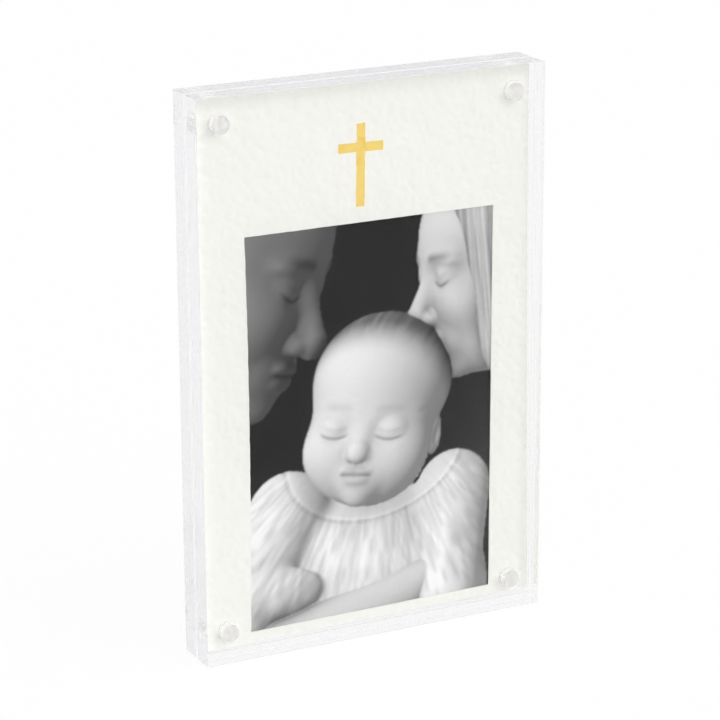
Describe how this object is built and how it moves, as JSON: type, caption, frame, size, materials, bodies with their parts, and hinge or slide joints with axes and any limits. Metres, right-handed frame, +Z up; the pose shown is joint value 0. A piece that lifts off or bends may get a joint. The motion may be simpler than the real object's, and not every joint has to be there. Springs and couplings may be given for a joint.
{
  "type": "magnetic acrylic photo frame",
  "caption": "Clear acrylic block frame: plates held face to face by corner magnets, with a windowed handmade paper mat, a gold foil cross and a photo print between them.",
  "frame": {"origin": "bottom centre of the closed block, on the surface it stands on", "axes": "+Z up the block's height, -Y out of the front face towards the viewer, +X to the viewer's right"},
  "size_m": [0.1334, 0.019, 0.2032],
  "materials": {
    "clear_acrylic": "clear cast acrylic, polished faces and edges",
    "nickel": "satin nickel plating",
    "handmade_paper": "matte, crinkled handmade sheet",
    "gold_foil": "satin gold foil",
    "photo_paper": "semi-gloss black and white print"
  },
  "bodies": {
    "rear": {"rear_plate": "clear_acrylic", "rear_magnet_top_left": "nickel", "rear_magnet_top_right": "nickel", "rear_magnet_bottom_left": "nickel", "rear_magnet_bottom_right": "nickel"},
    "front": {"front_plate": "clear_acrylic", "front_magnet_top_left": "nickel", "front_magnet_top_right": "nickel", "front_magnet_bottom_left": "nickel", "front_magnet_bottom_right": "nickel"},
    "mat": {"mat_sheet": "handmade_paper", "gold_cross": "gold_foil"},
    "print": {"photo_print": "photo_paper"}
  },
  "joints": [
    {"name": "front_plate_pull", "type": "slide", "parent": "rear", "child": "front", "axis": [0, -1, 0], "range_m": [0, 0.06]},
    {"name": "mat_lift", "type": "slide", "parent": "rear", "child": "mat", "axis": [0, 0, 1], "range_m": [0, 0.2]},
    {"name": "print_lift", "type": "slide", "parent": "rear", "child": "print", "axis": [0, 0, 1], "range_m": [0, 0.2]}
  ]
}
